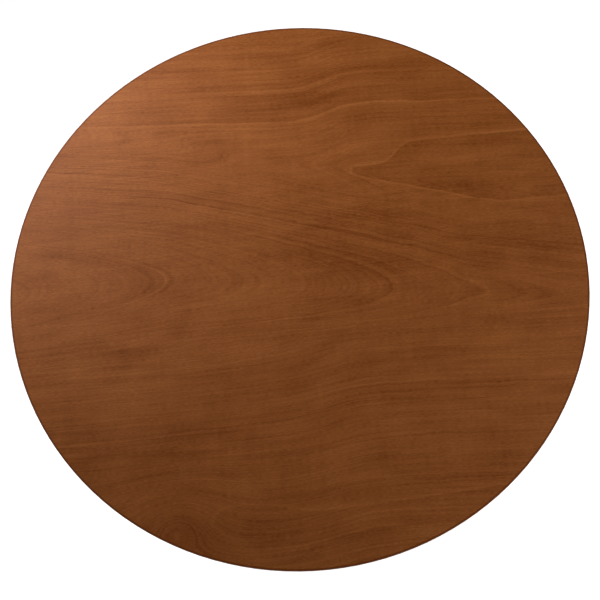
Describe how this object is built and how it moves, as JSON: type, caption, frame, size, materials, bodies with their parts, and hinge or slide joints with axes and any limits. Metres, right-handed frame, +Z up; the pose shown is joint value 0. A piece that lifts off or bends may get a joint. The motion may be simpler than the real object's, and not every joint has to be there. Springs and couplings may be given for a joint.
{
  "type": "tilt top table",
  "caption": "Round wood-veneered table top that tilts upright on a turned column with a three-legged foot, locked level by a slide bolt.",
  "frame": {"origin": "on the floor, under the middle of the column and of the level top", "axes": "+Z up; +X to the right seen from the front, along the grain of the top; -Y to the front, the edge that lifts"},
  "size_m": [0.6999, 0.7, 0.69],
  "materials": {
    "show_veneer": "satin lacquer over brown stain, fine grain along X",
    "board": "raw board",
    "backing": "satin lacquer over brown stain",
    "stained_wood": "satin lacquer over brown stain",
    "pale_wood": "oiled",
    "brass": "satin",
    "steel": "zinc plated",
    "iron": "black paint",
    "rubber": "matt",
    "nylon": "matt"
  },
  "bodies": {
    "base": {"tilt_block": "stained_wood", "column": "stained_wood", "leg_rear": "stained_wood", "leg_front_left": "stained_wood", "leg_front_right": "stained_wood", "tenon_wedge": "pale_wood", "keeper_plate": "brass", "keeper_screws": "brass", "pivot_bolt_left": "steel", "pivot_bolt_right": "steel", "pivot_washers": "steel", "spider_screws": "steel", "glide_nails": "steel", "spider_plate": "iron", "rest_buffers": "rubber", "stop_buffers": "rubber", "foot_glide_rear": "nylon", "foot_glide_front_left": "nylon", "foot_glide_front_right": "nylon"},
    "top": {"face_veneer": "show_veneer", "top_core": "board", "backing_veneer": "backing", "edge_band": "stained_wood", "bearer_left": "stained_wood", "bearer_right": "stained_wood", "bearer_screws": "steel", "pivot_bush_left": "brass", "pivot_bush_right": "brass", "catch_plate": "brass", "catch_guides": "brass", "catch_screws": "brass"},
    "catch_bolt": {"catch_rod": "brass", "catch_knob": "brass"}
  },
  "joints": [
    {"name": "top_tilt", "type": "hinge", "parent": "base", "child": "top", "pos_m": [0, 0.06, 0.655], "axis": [-1, 0, 0], "range_deg": [0, 90]},
    {"name": "catch_slide", "type": "slide", "parent": "top", "child": "catch_bolt", "axis": [0, 1, 0], "range_m": [0, 0.012]}
  ]
}
